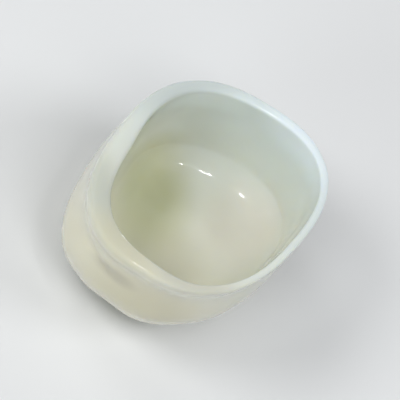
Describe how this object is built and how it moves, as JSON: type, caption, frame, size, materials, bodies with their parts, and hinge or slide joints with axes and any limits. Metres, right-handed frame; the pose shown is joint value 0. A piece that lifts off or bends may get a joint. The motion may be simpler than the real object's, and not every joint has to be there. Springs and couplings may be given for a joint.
{
  "type": "ceramic dental crown",
  "caption": "Hollow upper molar crown: a thin glazed ivory shell, open at its margin and closed by a cusped chewing face.",
  "frame": {"origin": "on the surface that the cusps stand on, under the middle of the crown's box", "axes": "+Z towards the gum, out of the open margin; +X towards the front of the mouth; +Y towards the cheek"},
  "size_m": [0.0108, 0.012, 0.0074],
  "materials": {
    "ceramic": "gloss"
  },
  "bodies": {
    "root": {"crown": "ceramic"}
  },
  "joints": []
}
